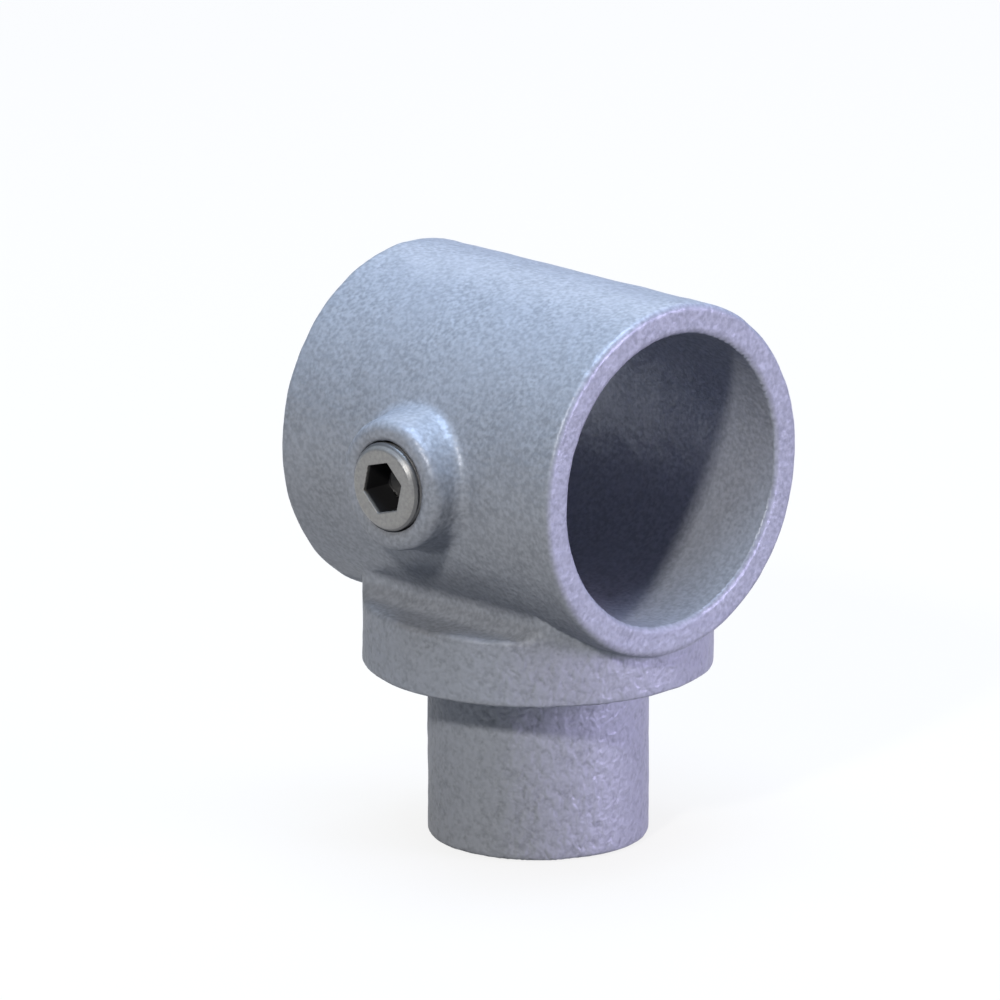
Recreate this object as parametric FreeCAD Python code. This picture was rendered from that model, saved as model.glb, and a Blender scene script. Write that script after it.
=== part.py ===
# Tube clamp tee fitting.
# A malleable iron casting grips one tube in its ring, and its spigot plugs into the end of another.
# A hexagon socket set screw in the side boss locks the gripped tube.
#
# Frame: +X runs along the gripped tube, +Z points away from the spigot, and the boss faces -Y.
# The origin is where the tube axis meets the spigot axis. All sizes are in millimetres.

import FreeCAD
import Part
import math
import os

# Gripped tube and ring
tube_diameter = 48.3
tube_clearance = 1.0
ring_wall = 5.2
ring_length = 62.6
ring_edge_radius = 1.2
bore_edge_chamfer = 0.6

# Collar between the ring and the spigot
collar_diameter = 58.9
collar_depth = 11.45
ledge_rise = 4.4
ledge_fillet = 2.7
collar_edge_chamfer = 0.4

# Spigot
spigot_diameter = 37.2
spigot_length = 29.9
spigot_edge_chamfer = 0.5
shoulder_blend = 0.8

# Cored recess inside the spigot
spigot_wall = 5.5
recess_roof_wall = 6.6
recess_draft_angle = 1.0
recess_corner_blend = 4.0
recess_mouth_chamfer = 0.6

# Set screw boss
boss_height = 5.75
boss_diameter = 21.8
boss_edge_radius = 2.1
boss_draft_angle = 9.0
boss_fillet = 2.2
hole_edge_chamfer = 0.4

# Set screw, with its thread drawn plain at the root diameter
screw_diameter = 14.95
screw_length = 11.9
screw_hole_clearance = 0.1
screw_tip_gap = 0.25
screw_face_chamfer = 1.0
screw_tip_chamfer = 1.6
screw_cup_diameter = 7.0
screw_cup_depth = 1.6
socket_width = 8.0
socket_depth = 6.0
socket_point_angle = 120.0
socket_turn = 16.3

# Derived places, measured from the tube axis or the spigot axis
bore_radius = (tube_diameter + tube_clearance) / 2
ring_radius = bore_radius + ring_wall
half_length = ring_length / 2
collar_radius = collar_diameter / 2
spigot_radius = spigot_diameter / 2
ledge_level = -(ring_radius - ledge_rise)
shoulder_level = ledge_level - collar_depth
spigot_end_level = shoulder_level - spigot_length
recess_roof_level = -(bore_radius + recess_roof_wall)
boss_reach = ring_radius + boss_height
hole_radius = screw_diameter / 2 + screw_hole_clearance
screw_face_reach = bore_radius + screw_tip_gap + screw_length

ORIGIN = FreeCAD.Vector(0, 0, 0)
ALONG_TUBE = FreeCAD.Vector(1, 0, 0)
UP = FreeCAD.Vector(0, 0, 1)
OUT_OF_BOSS = FreeCAD.Vector(0, -1, 0)


def line(start, end):
    return Part.LineSegment(start, end).toShape()


def arc(start, centre, end, radius):
    """Arc from start to end round centre, on the side that both ends lean to."""
    lean = (start - centre) + (end - centre)
    middle = centre + lean.normalize() * radius
    return Part.Arc(start, middle, end).toShape()


def rounded_outline(corners, place):
    """Closed face through (across, along, radius) corners, each rounded by its own radius."""
    points = [place(across, along) for across, along, radius in corners]
    radii = [radius for across, along, radius in corners]
    count = len(points)
    starts = []
    ends = []
    centres = []
    for i in range(count):
        back = (points[i - 1] - points[i]).normalize()
        ahead = (points[(i + 1) % count] - points[i]).normalize()
        half_angle = back.getAngle(ahead) / 2
        reach = radii[i] / math.tan(half_angle)
        starts.append(points[i] + back * reach)
        ends.append(points[i] + ahead * reach)
        bisector = (back + ahead).normalize()
        centres.append(points[i] + bisector * (radii[i] / math.sin(half_angle)))
    edges = []
    for i in range(count):
        if radii[i] > 0:
            edges.append(arc(starts[i], centres[i], ends[i], radii[i]))
        following = (i + 1) % count
        edges.append(line(ends[i], starts[following]))
    return Part.Face(Part.Wire(edges))


def turned(corners, place, axis):
    """Solid of revolution about an axis through the origin."""
    return rounded_outline(corners, place).revolve(ORIGIN, axis, 360)


def about_tube_axis(radius, along):
    return FreeCAD.Vector(along, 0, radius)


def about_spigot_axis(radius, level):
    return FreeCAD.Vector(radius, 0, level)


def about_screw_axis(radius, reach):
    return FreeCAD.Vector(radius, -reach, 0)


def ring():
    straight_half = half_length - bore_edge_chamfer
    corners = [
        (bore_radius, -straight_half, 0),
        (bore_radius, straight_half, 0),
        (bore_radius + bore_edge_chamfer, half_length, 0),
        (ring_radius, half_length, ring_edge_radius),
        (ring_radius, -half_length, ring_edge_radius),
        (bore_radius + bore_edge_chamfer, -half_length, 0),
    ]
    return turned(corners, about_tube_axis, ALONG_TUBE)


def boss_side_radius(reach):
    """Radius of the drafted boss at a distance from the tube axis, sharp edges assumed."""
    return boss_diameter / 2 + (boss_reach - reach) * math.tan(math.radians(boss_draft_angle))


def boss():
    corners = [
        (0, bore_radius, 0),
        (boss_side_radius(bore_radius), bore_radius, 0),
        (boss_side_radius(boss_reach), boss_reach, boss_edge_radius),
        (0, boss_reach, 0),
    ]
    return turned(corners, about_screw_axis, OUT_OF_BOSS)


def ring_with_boss():
    """Ring and boss as one solid, blended where they meet."""
    joined = ring().fuse(boss()).removeSplitter()
    edge_box = FreeCAD.BoundBox(-half_length, -ring_radius, -ring_radius, half_length, 0, ring_radius)
    root_edges = []
    for edge in joined.Edges:
        middle = edge.valueAt((edge.FirstParameter + edge.LastParameter) / 2)
        off_tube_axis = math.hypot(middle.y, middle.z)
        off_screw_axis = math.hypot(middle.x, middle.z)
        on_ring = abs(off_tube_axis - ring_radius) < 1e-4
        at_boss = abs(off_screw_axis - boss_side_radius(-middle.y)) < 1e-4
        if on_ring and at_boss and edge_box.isInside(middle):
            root_edges.append(edge)
    return joined.makeFillet(boss_fillet, root_edges)


def collar_and_spigot():
    corners = [
        (0, spigot_end_level, 0),
        (spigot_radius - spigot_edge_chamfer, spigot_end_level, 0),
        (spigot_radius, spigot_end_level + spigot_edge_chamfer, 0),
        (spigot_radius, shoulder_level - shoulder_blend, 0),
        (spigot_radius + shoulder_blend, shoulder_level, 0),
        (collar_radius - collar_edge_chamfer, shoulder_level, 0),
        (collar_radius, shoulder_level + collar_edge_chamfer, 0),
        (collar_radius, ledge_level, 0),
        (0, ledge_level, 0),
    ]
    return turned(corners, about_spigot_axis, UP)


def ledge_blend():
    """Concave blend from the underside of the ring down to the collar's ledge, within the collar."""
    centre_level = ledge_level + ledge_fillet
    centre_distance = ring_radius + ledge_fillet
    centre_across = math.sqrt(centre_distance ** 2 - centre_level ** 2)
    touch = ring_radius / centre_distance

    def section(side):
        centre = FreeCAD.Vector(-collar_radius, side * centre_across, centre_level)
        on_ring = FreeCAD.Vector(-collar_radius, side * centre_across * touch, centre_level * touch)
        on_ledge = FreeCAD.Vector(-collar_radius, side * centre_across, ledge_level)
        return centre, on_ring, on_ledge

    left_centre, left_ring, left_ledge = section(-1)
    right_centre, right_ring, right_ledge = section(1)
    outline = Part.Wire([
        arc(left_ring, left_centre, left_ledge, ledge_fillet),
        line(left_ledge, right_ledge),
        arc(right_ledge, right_centre, right_ring, ledge_fillet),
        line(right_ring, left_ring),
    ])
    blend = Part.Face(outline).extrude(ALONG_TUBE * (2 * collar_radius))
    column = Part.makeCylinder(
        collar_radius, ring_radius, FreeCAD.Vector(0, 0, ledge_level - ledge_fillet), UP
    )
    return blend.common(column)


def recess():
    """Blind hollow that the spigot is cored with from below."""
    mouth_radius = spigot_radius - spigot_wall
    corner_level = recess_roof_level - recess_corner_blend
    draft = math.tan(math.radians(recess_draft_angle))
    corner_radius = mouth_radius - (corner_level - spigot_end_level) * draft
    corners = [
        (0, spigot_end_level, 0),
        (mouth_radius, spigot_end_level, 0),
        (corner_radius, corner_level, 0),
        (corner_radius - recess_corner_blend, recess_roof_level, 0),
        (0, recess_roof_level, 0),
    ]
    hollow = turned(corners, about_spigot_axis, UP)
    flare = Part.makeCone(
        mouth_radius + recess_mouth_chamfer,
        mouth_radius - recess_mouth_chamfer,
        2 * recess_mouth_chamfer,
        FreeCAD.Vector(0, 0, spigot_end_level),
        UP,
    )
    return hollow.fuse(flare)


def screw_hole():
    mouth_reach = boss_reach - hole_edge_chamfer
    corners = [
        (0, 0, 0),
        (hole_radius, 0, 0),
        (hole_radius, mouth_reach, 0),
        (hole_radius + 2 * hole_edge_chamfer, boss_reach + hole_edge_chamfer, 0),
        (0, boss_reach + hole_edge_chamfer, 0),
    ]
    return turned(corners, about_screw_axis, OUT_OF_BOSS)


def clamp_body():
    """The whole casting: ring, boss, collar and spigot."""
    body = ring_with_boss().fuse([collar_and_spigot(), ledge_blend()])
    bore = Part.makeCylinder(
        bore_radius, ring_length, FreeCAD.Vector(-half_length, 0, 0), ALONG_TUBE
    )
    return body.cut([bore, recess(), screw_hole()]).removeSplitter()


def socket():
    """Hexagon pocket with a drilled point at its floor."""
    corner_radius = socket_width / 2 / math.cos(math.radians(30))
    corners = []
    for i in range(7):
        angle = math.radians(socket_turn + 60 * i)
        corners.append(FreeCAD.Vector(
            corner_radius * math.cos(angle), -screw_face_reach, corner_radius * math.sin(angle)
        ))
    pocket = Part.Face(Part.makePolygon(corners)).extrude(OUT_OF_BOSS * -socket_depth)
    point_radius = socket_width / 2
    point_depth = point_radius / math.tan(math.radians(socket_point_angle / 2))
    floor = OUT_OF_BOSS * (screw_face_reach - socket_depth)
    point = Part.makeCone(point_radius, 0, point_depth, floor, OUT_OF_BOSS * -1)
    return pocket.fuse(point)


def set_screw():
    tip_reach = screw_face_reach - screw_length
    radius = screw_diameter / 2
    corners = [
        (0, tip_reach + screw_cup_depth, 0),
        (screw_cup_diameter / 2, tip_reach, 0),
        (radius - screw_tip_chamfer, tip_reach, 0),
        (radius, tip_reach + screw_tip_chamfer, 0),
        (radius, screw_face_reach - screw_face_chamfer, 0),
        (radius - screw_face_chamfer, screw_face_reach, 0),
        (0, screw_face_reach, 0),
    ]
    return turned(corners, about_screw_axis, OUT_OF_BOSS).cut(socket())


os.makedirs("parts", exist_ok=True)
nodes = {
    "clamp_body": clamp_body(),
    "set_screw": set_screw(),
}
for name, shape in nodes.items():
    solid = shape.Solids[0]
    solid.exportStep("parts/" + name + ".step")
    print(name, "solids", len(shape.Solids), "valid", solid.isValid(), "volume", round(solid.Volume, 1))
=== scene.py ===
import bpy
import math
import numpy as np
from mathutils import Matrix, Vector


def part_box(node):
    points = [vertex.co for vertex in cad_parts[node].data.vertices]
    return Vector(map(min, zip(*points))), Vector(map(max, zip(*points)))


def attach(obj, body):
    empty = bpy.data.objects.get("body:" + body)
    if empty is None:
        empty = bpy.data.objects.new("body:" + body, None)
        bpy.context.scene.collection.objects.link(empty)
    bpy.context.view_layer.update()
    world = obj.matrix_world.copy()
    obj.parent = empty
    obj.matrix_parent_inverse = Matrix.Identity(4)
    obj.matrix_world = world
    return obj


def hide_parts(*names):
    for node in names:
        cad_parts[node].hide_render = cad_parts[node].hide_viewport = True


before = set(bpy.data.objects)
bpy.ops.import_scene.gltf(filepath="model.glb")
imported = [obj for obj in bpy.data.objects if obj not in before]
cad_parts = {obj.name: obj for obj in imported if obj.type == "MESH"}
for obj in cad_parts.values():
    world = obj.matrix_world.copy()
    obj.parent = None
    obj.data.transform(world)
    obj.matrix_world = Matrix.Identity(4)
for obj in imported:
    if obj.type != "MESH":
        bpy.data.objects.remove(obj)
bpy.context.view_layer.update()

FLOOR_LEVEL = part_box("clamp_body")[0].z
FLOOR_GAP = 0.0002


def direction(azimuth, elevation):
    """Unit vector; azimuth 0 is the side of the set screw (-Y) and grows towards +X."""
    a = math.radians(azimuth)
    e = math.radians(elevation)
    return Vector((math.sin(a) * math.cos(e), -math.cos(a) * math.cos(e), math.sin(e)))


def aim(obj, at):
    obj.rotation_euler = (Vector(at) - obj.location).to_track_quat("-Z", "Y").to_euler()


# ---------- sizes in millimetres, the same as the solids have
RING_R, BORE_R, HALF, RING_EDGE, BORE_CHAMFER = 29.85, 24.65, 31.3, 1.2, 0.6
COLLAR_R, LEDGE, SHOULDER, LEDGE_FILLET = 29.45, -25.45, -36.9, 2.7
SPIGOT_R, SPIGOT_END, SHOULDER_BLEND = 18.6, -66.8, 0.8
MOUTH_R, MOUTH_CHAMFER, RECESS_CORNER, RECESS_ROOF = 13.1, 0.6, -35.25, -31.25
RECESS_SLOPE = math.tan(math.radians(1.0))
BOSS_R, BOSS_REACH, BOSS_EDGE, BOSS_DRAFT, BOSS_FILLET = 10.9, 35.6, 2.1, math.radians(9.0), 2.2
HOLE_R, HOLE_CHAMFER = 7.575, 0.4

SCREW_R, SCREW_FACE, SCREW_TIP = 7.475, 36.8, 24.9
FACE_CHAMFER, TIP_CHAMFER, CUP_R, CUP_DEPTH = 1.0, 1.6, 3.5, 1.6
SOCKET_HALF, SOCKET_FLOOR, SOCKET_TURN = 4.0, 30.8, 16.3

# ---------- sizes in millimetres that only the skins have
CAST_EDGE, LIP_EDGE, BORE_EDGE, RECESS_EDGE, HOLE_EDGE = 0.65, 0.95, 0.35, 1.5, 0.25
# The boss counts only beyond this distance from the tube axis, which is inside the bore
BOSS_FOOT = 20.0
# The collar meets the ring in a sharp seam, and in a fillet under the ring's ends
SEAM_FILLET, OVERHANG_FILLET, OVERHANG_START, OVERHANG_WIDTH = 0.05, 0.75, 24.5, 2.0
CAST_INSET = 0.05
THREAD_PITCH, THREAD_DEPTH, THREAD_START, THREAD_FADE = 1.34, 0.6, 1.15, 0.5
THREAD_SLOPE, THREAD_CREST = 1.25, 0.12
# Below 1, because the grooves make the field of the screw's side steeper than a distance
THREAD_SCALE = 0.75
SCREW_EDGE, CUP_EDGE, SOCKET_EDGE, SOCKET_CHAMFER, SOCKET_RIM = 0.2, 0.15, 0.12, 0.1, 0.3

# Corners and steps of the grids that the skins are made on
CAST_LOW, CAST_HIGH, CAST_STEP = (-32.1, -36.6, -67.7), (32.1, 31.0, 31.0), 0.66
SCREW_LOW, SCREW_HIGH, SCREW_STEP = (-7.9, -37.3, -7.9), (7.9, -24.3, 7.9), 0.22


# ---------- fields: signed distance in millimetres, below zero inside
def soft_max(a, b, k):
    """Larger of two distances, with the edge between them rounded over a width k."""
    h = np.clip(0.5 + 0.5 * (a - b) / k, 0.0, 1.0)
    return b + (a - b) * h + k * h * (1.0 - h)


def rounded_corner(a, b, r):
    """Inside both of two faces square to each other, with their edge rounded by r."""
    u = a + r
    v = b + r
    return np.minimum(np.maximum(u, v), 0.0) + np.hypot(np.maximum(u, 0.0), np.maximum(v, 0.0)) - r


def rolled_union(a, b, cosine, r):
    """Both bodies, with a ball of radius r rolled along the groove between their faces."""
    u = r - a
    v = r - b
    in_groove = (u - cosine * v > 0) & (v - cosine * u > 0)
    far = np.sqrt(np.maximum((u * u + v * v - 2 * cosine * u * v) / (1 - cosine * cosine), 0.0))
    return np.where(in_groove, np.minimum(np.minimum(a, b), r - far), np.minimum(a, b))


def casting(x, y, z):
    """Ring, boss, collar with its ledges, and hollow spigot as one casting."""
    off_tube = np.hypot(y, z)
    off_spigot = np.hypot(x, y)
    off_screw = np.hypot(x, z)
    reach = -y

    ring = rounded_corner(off_tube - RING_R, np.abs(x) - HALF, RING_EDGE)

    centre_r = BOSS_R - BOSS_EDGE * math.tan((math.pi / 2 - BOSS_DRAFT) / 2)
    centre_h = BOSS_REACH - BOSS_EDGE
    flank = (off_screw - BOSS_R) * math.cos(BOSS_DRAFT) + (reach - BOSS_REACH) * math.sin(BOSS_DRAFT)
    out = off_screw - centre_r
    up = reach - centre_h
    at_edge = (out > 0) & (up * math.cos(BOSS_DRAFT) - out * math.sin(BOSS_DRAFT) > 0)
    boss = np.where(at_edge, np.hypot(out, up) - BOSS_EDGE, np.maximum(flank, reach - BOSS_REACH))
    boss = np.maximum(boss, BOSS_FOOT - reach)
    cosine = reach * math.sin(BOSS_DRAFT) + z * z / np.maximum(off_screw, 1e-6) * math.cos(BOSS_DRAFT)
    cosine = np.clip(cosine / np.maximum(off_tube, 1e-6), -0.9, 0.9)
    head = np.where(reach > BOSS_FOOT, rolled_union(ring, boss, cosine, BOSS_FILLET), ring)

    blend_z = LEDGE + LEDGE_FILLET
    blend_y = math.sqrt((RING_R + LEDGE_FILLET) ** 2 - blend_z ** 2)
    side = np.abs(y)
    below_touch = (blend_y * z - blend_z * side) / (RING_R + LEDGE_FILLET)
    fill = np.maximum(LEDGE_FILLET - np.hypot(side - blend_y, z - blend_z), side - blend_y)
    top = np.minimum(z - LEDGE, np.maximum(fill, below_touch))
    collar = rounded_corner(off_spigot - COLLAR_R, top, LIP_EDGE)
    collar = rounded_corner(collar, SHOULDER - z, CAST_EDGE)
    cosine = np.clip(y * y / np.maximum(off_tube * off_spigot, 1e-6), -0.9, 0.9)
    overhang = np.clip((np.abs(x) - OVERHANG_START) / OVERHANG_WIDTH, 0.0, 1.0)
    body = rolled_union(head, collar, cosine, SEAM_FILLET + OVERHANG_FILLET * overhang)

    spigot = np.maximum(rounded_corner(off_spigot - SPIGOT_R, SPIGOT_END - z, LIP_EDGE), z - LEDGE)
    body = rolled_union(body, spigot, 0.0, SHOULDER_BLEND)

    mouth = (off_tube - BORE_R - np.abs(x) + HALF - BORE_CHAMFER) / math.sqrt(2)
    body = soft_max(body, -np.minimum(off_tube - BORE_R, mouth), BORE_EDGE)

    corner_r = MOUTH_R - (RECESS_CORNER - SPIGOT_END) * RECESS_SLOPE
    corner = (off_spigot - corner_r + z - RECESS_CORNER) / math.sqrt(2)
    recess = soft_max(off_spigot - MOUTH_R + (z - SPIGOT_END) * RECESS_SLOPE, corner, RECESS_EDGE)
    recess = soft_max(recess, z - RECESS_ROOF, RECESS_EDGE)
    mouth = (off_spigot - MOUTH_R - MOUTH_CHAMFER + z - SPIGOT_END) / math.sqrt(2)
    body = soft_max(body, -np.minimum(recess, mouth), BORE_EDGE)

    mouth = (off_screw - HOLE_R - reach + BOSS_REACH - HOLE_CHAMFER) / math.sqrt(2)
    hole = np.maximum(np.minimum(off_screw - HOLE_R, mouth), -reach)
    return soft_max(body, -hole, HOLE_EDGE)


LUMPS = []
random = np.random.default_rng(11)
for low, high, height, count in ((6.0, 15.0, 0.030, 18), (2.6, 5.0, 0.016, 26)):
    ways = random.normal(size=(count, 3))
    ways /= np.linalg.norm(ways, axis=1)[:, None]
    waves = 2 * math.pi / random.uniform(low, high, count)
    starts = random.uniform(0, 2 * math.pi, count)
    share = height * math.sqrt(2 / count)
    LUMPS += [(way * wave, start, share) for way, wave, start in zip(ways, waves, starts)]


def lumps(x, y, z):
    """Slow unevenness of the cast and dipped surface."""
    total = 0.0
    for wave, start, height in LUMPS:
        total = total + height * np.cos(wave[0] * x + wave[1] * y + wave[2] * z + start)
    return total


def cast_surface(x, y, z):
    """The uneven casting, a little smaller so that it keeps near the size of the solids."""
    return casting(x, y, z) + CAST_INSET - lumps(x, y, z)


def screw(x, y, z):
    """Set screw with its thread grooves, cup point and hexagon socket."""
    off = np.hypot(x, z)
    reach = -y
    turn = np.arctan2(z, x) / (2 * math.pi)
    phase = (reach / THREAD_PITCH - turn) % 1.0
    groove = np.clip(THREAD_SLOPE * (1.0 - 2.0 * np.abs(phase - 0.5)) - THREAD_CREST, 0.0, 1.0)
    groove = groove * np.clip((SCREW_FACE - THREAD_START - reach) / THREAD_FADE, 0.0, 1.0)
    shape = (off - SCREW_R + THREAD_DEPTH * groove) * THREAD_SCALE
    shape = soft_max(shape, (off - SCREW_R + FACE_CHAMFER + reach - SCREW_FACE) / math.sqrt(2), SCREW_EDGE)
    shape = soft_max(shape, (off - SCREW_R + TIP_CHAMFER - reach + SCREW_TIP) / math.sqrt(2), SCREW_EDGE)
    shape = soft_max(soft_max(shape, reach - SCREW_FACE, SCREW_EDGE), SCREW_TIP - reach, SCREW_EDGE)
    slant = math.hypot(CUP_R, CUP_DEPTH)
    cup = ((off - CUP_R) * CUP_DEPTH + (reach - SCREW_TIP) * CUP_R) / slant
    shape = soft_max(shape, -cup, CUP_EDGE)
    flats = [math.radians(SOCKET_TURN + 30 + 60 * i) for i in range(3)]
    across = np.maximum.reduce([np.abs(x * math.cos(a) + z * math.sin(a)) for a in flats]) - SOCKET_HALF
    drill = (off - SOCKET_HALF + (SOCKET_FLOOR - reach) * math.sqrt(3)) / 2
    point = np.maximum(drill, reach - SOCKET_FLOOR - 0.01)
    pocket = np.minimum(np.maximum(across, SOCKET_FLOOR - reach), point)
    mouth = (across - SOCKET_CHAMFER - reach + SCREW_FACE) / math.sqrt(2)
    return soft_max(shape, -np.minimum(pocket, np.maximum(mouth, across - SOCKET_RIM)), SOCKET_EDGE)


# ---------- skin of a field
def gradient(at, field):
    """Steepest way up the field at each point, by differences over a small step e."""
    e = 0.02
    g = np.empty_like(at)
    for k in range(3):
        step = np.zeros(3)
        step[k] = e
        g[:, k] = (field(*(at + step).T) - field(*(at - step).T)) / (2 * e)
    return g


def onto(points, field, step, rounds):
    """Points moved onto the field's zero surface, by half a grid step at most in each round."""
    for _ in range(rounds):
        g = gradient(points, field)
        length = np.maximum((g * g).sum(1), 0.25)
        move = field(*points.T)[:, None] * g / length[:, None]
        points = points - np.clip(move, -step / 2, step / 2)
    return points


def pair(axis):
    """The two halves of neighbours along an axis of a grid."""
    first = [slice(None)] * 3
    second = [slice(None)] * 3
    first[axis] = slice(0, -1)
    second[axis] = slice(1, None)
    return tuple(first), tuple(second)


def skin(field, low, high, step):
    """Points and quads on the zero surface, with one point in each grid cell that it crosses."""
    axes = [np.arange(low[k], high[k] + step, step) for k in range(3)]
    yy, zz = np.meshgrid(axes[1], axes[2], indexing="ij")
    values = np.stack([field(np.full_like(yy, x), yy, zz) for x in axes[0]])
    inside = values < 0
    cells = tuple(n - 1 for n in values.shape)
    total = np.zeros(cells + (3,))
    hits = np.zeros(cells)
    for axis in range(3):
        first, second = pair(axis)
        a = values[first]
        crossed = inside[first] != inside[second]
        share = np.where(crossed, a / np.where(crossed, a - values[second], 1.0), 0.0)
        others = [k for k in range(3) if k != axis]
        for shift in ((0, 0), (0, 1), (1, 0), (1, 1)):
            pick = [slice(None)] * 3
            for k, d in zip(others, shift):
                pick[k] = slice(d, d + cells[k])
            here = crossed[tuple(pick)]
            total[..., axis] += share[tuple(pick)]
            for k, d in zip(others, shift):
                total[..., k] += here * d
            hits += here
    used = hits > 0
    number = np.full(cells, -1)
    number[used] = np.arange(int(used.sum()))
    points = (np.argwhere(used) + total[used] / hits[used][:, None]) * step + np.array(low)
    quads = []
    for axis in range(3):
        first, second = pair(axis)
        at = np.argwhere(inside[first] != inside[second])
        outward = inside[first][tuple(at.T)]
        u, v = ((1, 2), (2, 0), (0, 1))[axis]
        loop = []
        for du, dv in ((0, 0), (-1, 0), (-1, -1), (0, -1)):
            cell = at.copy()
            cell[:, u] += du
            cell[:, v] += dv
            loop.append(number[tuple(cell.T)])
        loop = np.stack(loop, 1)
        loop[~outward] = loop[~outward][:, ::-1]
        quads.append(loop)
    return onto(points, field, step, 4), np.concatenate(quads)


def piece(name, node, points, quads, field, material):
    """Smooth mesh in metres that stands for a CAD node, shaded by the field's own normals."""
    mesh = bpy.data.meshes.new(name)
    mesh.from_pydata((points / 1000.0).tolist(), [], quads.tolist())
    mesh.polygons.foreach_set("use_smooth", np.ones(len(quads), dtype=bool))
    normals = gradient(points, field)
    normals /= np.linalg.norm(normals, axis=1)[:, None]
    mesh.normals_split_custom_set_from_vertices(normals.tolist())
    mesh.materials.append(material)
    obj = bpy.data.objects.new(name, mesh)
    bpy.context.scene.collection.objects.link(obj)
    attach(obj, "root")
    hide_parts(node)


# ---------- materials
class Nodes:
    """Short names for building a node tree."""

    def __init__(self, name):
        self.material = bpy.data.materials.new(name)
        self.material.use_nodes = True
        self.tree = self.material.node_tree
        self.tree.nodes.clear()

    def add(self, kind, values=None, **settings):
        node = self.tree.nodes.new(kind)
        for key, value in settings.items():
            setattr(node, key, value)
        for key, value in (values or {}).items():
            if isinstance(value, bpy.types.NodeSocket):
                self.tree.links.new(value, node.inputs[key])
            else:
                node.inputs[key].default_value = value
        return node

    def noise(self, at, scale, detail=2.0, rough=0.5, distort=0.0):
        return self.add("ShaderNodeTexNoise", {
            "Vector": at, "Scale": scale, "Detail": detail, "Roughness": rough, "Distortion": distort,
        }).outputs["Fac"]

    def math(self, operation, a, b=None):
        values = {0: a} if b is None else {0: a, 1: b}
        return self.add("ShaderNodeMath", values, operation=operation).outputs[0]

    def span(self, value, low, high, to_low=0.0, to_high=1.0):
        return self.add("ShaderNodeMapRange", {
            "Value": value, "From Min": low, "From Max": high, "To Min": to_low, "To Max": to_high,
        }).outputs["Result"]

    def blend(self, fac, a, b):
        return self.add("ShaderNodeMix", {0: fac, 6: a, 7: b}, data_type="RGBA").outputs[2]

    def bump(self, height, strength, distance, normal=None):
        values = {"Height": height, "Strength": strength, "Distance": distance}
        if normal is not None:
            values["Normal"] = normal
        return self.add("ShaderNodeBump", values).outputs["Normal"]

    def finish(self, values):
        shader = self.add("ShaderNodeBsdfPrincipled", values)
        self.add("ShaderNodeOutputMaterial", {"Surface": shader.outputs[0]})
        return self.material

    def millimetres(self):
        """Place on the object, in millimetres."""
        here = self.add("ShaderNodeTexCoord").outputs["Object"]
        return self.add("ShaderNodeVectorMath", {0: here, 3: 1000.0}, operation="SCALE").outputs[0]


def galvanised():
    """Speckled zinc over the casting, with a coarser mottle on the collar and spigot."""
    n = Nodes("galvanised_iron")
    at = n.millimetres()
    level = n.add("ShaderNodeSeparateXYZ", {0: at}).outputs["Z"]
    # 1 on the collar and spigot, 0 above them
    low = n.span(level, -22.0, -30.0)
    grain = n.noise(at, 0.9, 1.0, 0.5)
    speck = n.noise(at, 1.3, 1.0, 0.5)
    swirl = n.noise(at, 0.60, 1.0, 0.5, 0.4)
    patch = n.noise(at, 0.10, 3.0, 0.55, 0.4)

    light = (0.460, 0.486, 0.540, 1.0)
    dark = (0.325, 0.346, 0.390, 1.0)
    base = n.blend(n.span(speck, 0.34, 0.66), dark, light)
    base = n.blend(n.span(patch, 0.35, 0.65, 0.0, 0.35), base, (0.452, 0.480, 0.542, 1.0))
    mottle = n.math("MULTIPLY", low, n.span(swirl, 0.36, 0.64, 0.0, 0.8))
    base = n.blend(mottle, base, (0.460, 0.488, 0.550, 1.0))

    # The ledge is duller than the rest
    ledge = n.span(n.math("ABSOLUTE", n.math("SUBTRACT", level, LEDGE)), 0.4, 1.4, 0.16, 0.0)
    rough = n.math("ADD", n.span(n.math("ADD", grain, patch), 0.7, 1.3, 0.45, 0.37), ledge)
    rough = n.math("ADD", rough, n.math("MULTIPLY", low, 0.06))
    relief = n.bump(swirl, n.math("MULTIPLY", low, 0.5), 0.00065)
    relief = n.bump(grain, 0.5, 0.00024, relief)
    return n.finish({
        "Base Color": base, "Roughness": rough, "Normal": relief,
        "Metallic": 0.18, "Specular IOR Level": 0.2, "Specular Tint": (0.4, 0.4, 0.42, 1.0),
    })


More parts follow.
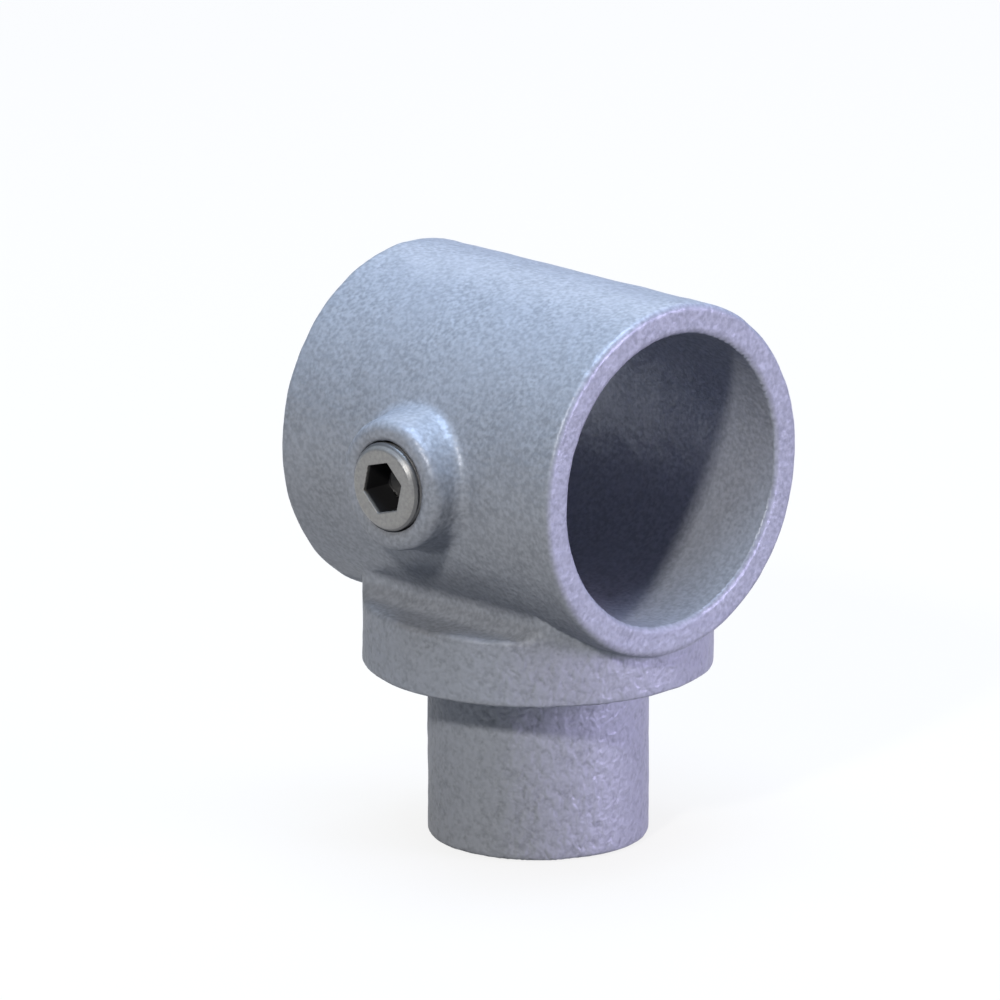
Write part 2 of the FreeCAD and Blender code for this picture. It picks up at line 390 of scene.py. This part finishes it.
def plated():
    """Satin plating on the screw, with painted shade inside the socket and in the thread."""
    n = Nodes("plated_steel")
    at = n.millimetres()
    parts = n.add("ShaderNodeSeparateXYZ", {0: at}).outputs
    squares = [n.math("MULTIPLY", parts[axis], parts[axis]) for axis in ("X", "Z")]
    off = n.math("SQRT", n.math("ADD", squares[0], squares[1]))
    reach = n.math("MULTIPLY", parts["Y"], -1.0)
    grain = n.noise(at, 1.6, 3.0, 0.6, 0.3)
    fine = n.noise(at, 6.0, 2.0, 0.6)
    base = n.blend(n.span(grain, 0.35, 0.65), (0.32, 0.315, 0.31, 1.0), (0.40, 0.395, 0.38, 1.0))
    # Painted shade: the socket is coloured near black, standing in for the shadow inside it
    painted_socket_shade = n.math("MULTIPLY", n.span(reach, SCREW_FACE - 0.3, SCREW_FACE - 0.9), n.span(off, 5.0, 4.7))
    base = n.blend(painted_socket_shade, base, (0.022, 0.022, 0.024, 1.0))
    # Painted shade: a dark ring on the first turn of the thread, standing in for the shadowed gap between
    # screw and hole
    painted_thread_shade = n.math("MULTIPLY", n.span(off, 6.95, 7.1), n.span(reach, SCREW_FACE - 0.4, SCREW_FACE - 0.55))
    base = n.blend(n.math("MULTIPLY", painted_thread_shade, 0.8), base, (0.13, 0.13, 0.135, 1.0))
    rough = n.span(fine, 0.3, 0.7, 0.46, 0.34)
    relief = n.bump(fine, 0.3, 0.00005, n.bump(grain, 0.25, 0.0001))
    # The painted socket shade also takes the metal sheen out of the socket
    metal = n.math("MULTIPLY", n.math("SUBTRACT", 1.0, painted_socket_shade), 0.4)
    return n.finish({"Base Color": base, "Roughness": rough, "Normal": relief, "Metallic": metal})


iron = galvanised()
steel = plated()
points, quads = skin(casting, CAST_LOW, CAST_HIGH, CAST_STEP)
points = onto(points, cast_surface, CAST_STEP, 2)
piece("casting_skin", "clamp_body", points, quads, cast_surface, iron)
points, quads = skin(screw, SCREW_LOW, SCREW_HIGH, SCREW_STEP)
piece("screw_skin", "set_screw", points, quads, screw, steel)


# ---------- floor
def floor_material():
    """White to the eye and in reflections, and dark for bounced light."""
    n = Nodes("studio_floor")
    at = n.millimetres()
    path = n.add("ShaderNodeLightPath").outputs
    mirrored = n.math("MAXIMUM", path["Is Glossy Ray"], path["Is Transmission Ray"])
    seen = n.math("MAXIMUM", path["Is Camera Ray"], mirrored)
    pale = n.blend(n.noise(at, 0.002, 2.0), (0.86, 0.84, 0.80, 1.0), (0.88, 0.86, 0.82, 1.0))
    colour = n.blend(seen, (0.08, 0.08, 0.08, 1.0), pale)
    matte = n.add("ShaderNodeBsdfDiffuse", {"Color": colour}).outputs[0]
    glow = n.add("ShaderNodeEmission", {"Color": (1.0, 1.0, 1.0, 1.0), "Strength": 1.0}).outputs[0]
    both = n.add("ShaderNodeMixShader", {0: n.math("MULTIPLY", seen, 0.85), 1: matte, 2: glow}).outputs[0]
    n.add("ShaderNodeOutputMaterial", {"Surface": both})
    return n.material


def floor():
    """Square floor just below the spigot's foot."""
    mesh = bpy.data.meshes.new("floor")
    half = 3.0
    sides = ((-half, -half), (half, -half), (half, half), (-half, half))
    mesh.from_pydata([(x, y, 0.0) for x, y in sides], [], [(0, 1, 2, 3)])
    obj = bpy.data.objects.new("floor", mesh)
    bpy.context.scene.collection.objects.link(obj)
    obj.location = (0.0, 0.0, FLOOR_LEVEL - FLOOR_GAP)
    mesh.materials.append(floor_material())


floor()


# ---------- light
def lamp(name, azimuth, elevation, distance, size, power, colour):
    """Round area lamp aimed at the part; lengths in metres, power in watts."""
    data = bpy.data.lights.new(name, "AREA")
    data.shape = "DISK"
    data.size = size
    data.energy = power
    data.color = colour
    obj = bpy.data.objects.new(name, data)
    bpy.context.scene.collection.objects.link(obj)
    obj.location = direction(azimuth, elevation) * distance
    aim(obj, (0.0, 0.0, -0.01))


lamp("key", 22.0, 33.5, 1.6, 0.14, 12.0, (1.0, 0.97, 0.93))
lamp("sky", 0.0, 90.0, 1.2, 1.0, 20.0, (0.60, 0.76, 1.0))
lamp("right", 117.0, 8.0, 1.6, 0.8, 24.0, (0.76, 0.68, 1.0))
lamp("back", -140.0, 35.0, 1.6, 1.0, 5.0, (0.90, 0.95, 1.0))

world = bpy.data.worlds.new("studio")
world.use_nodes = True
bpy.context.scene.world = world
world.node_tree.nodes["Background"].inputs["Color"].default_value = (0.80, 0.86, 1.0, 1.0)
world.node_tree.nodes["Background"].inputs["Strength"].default_value = 0.012


# ---------- camera, fitted to the edges in the photo
camera_data = bpy.data.cameras.new("camera")
camera = bpy.data.objects.new("camera", camera_data)
bpy.context.scene.collection.objects.link(camera)
camera.location = (1.387576, -1.413773, 0.547816)
view = direction(44.65, 15.71)
camera.rotation_euler = view.to_track_quat("Z", "Y").to_euler()
camera_data.sensor_width = 36.0
camera_data.lens = 444.3
camera_data.clip_end = 50.0
bpy.context.scene.camera = camera
bpy.context.scene.view_settings.view_transform = "Standard"
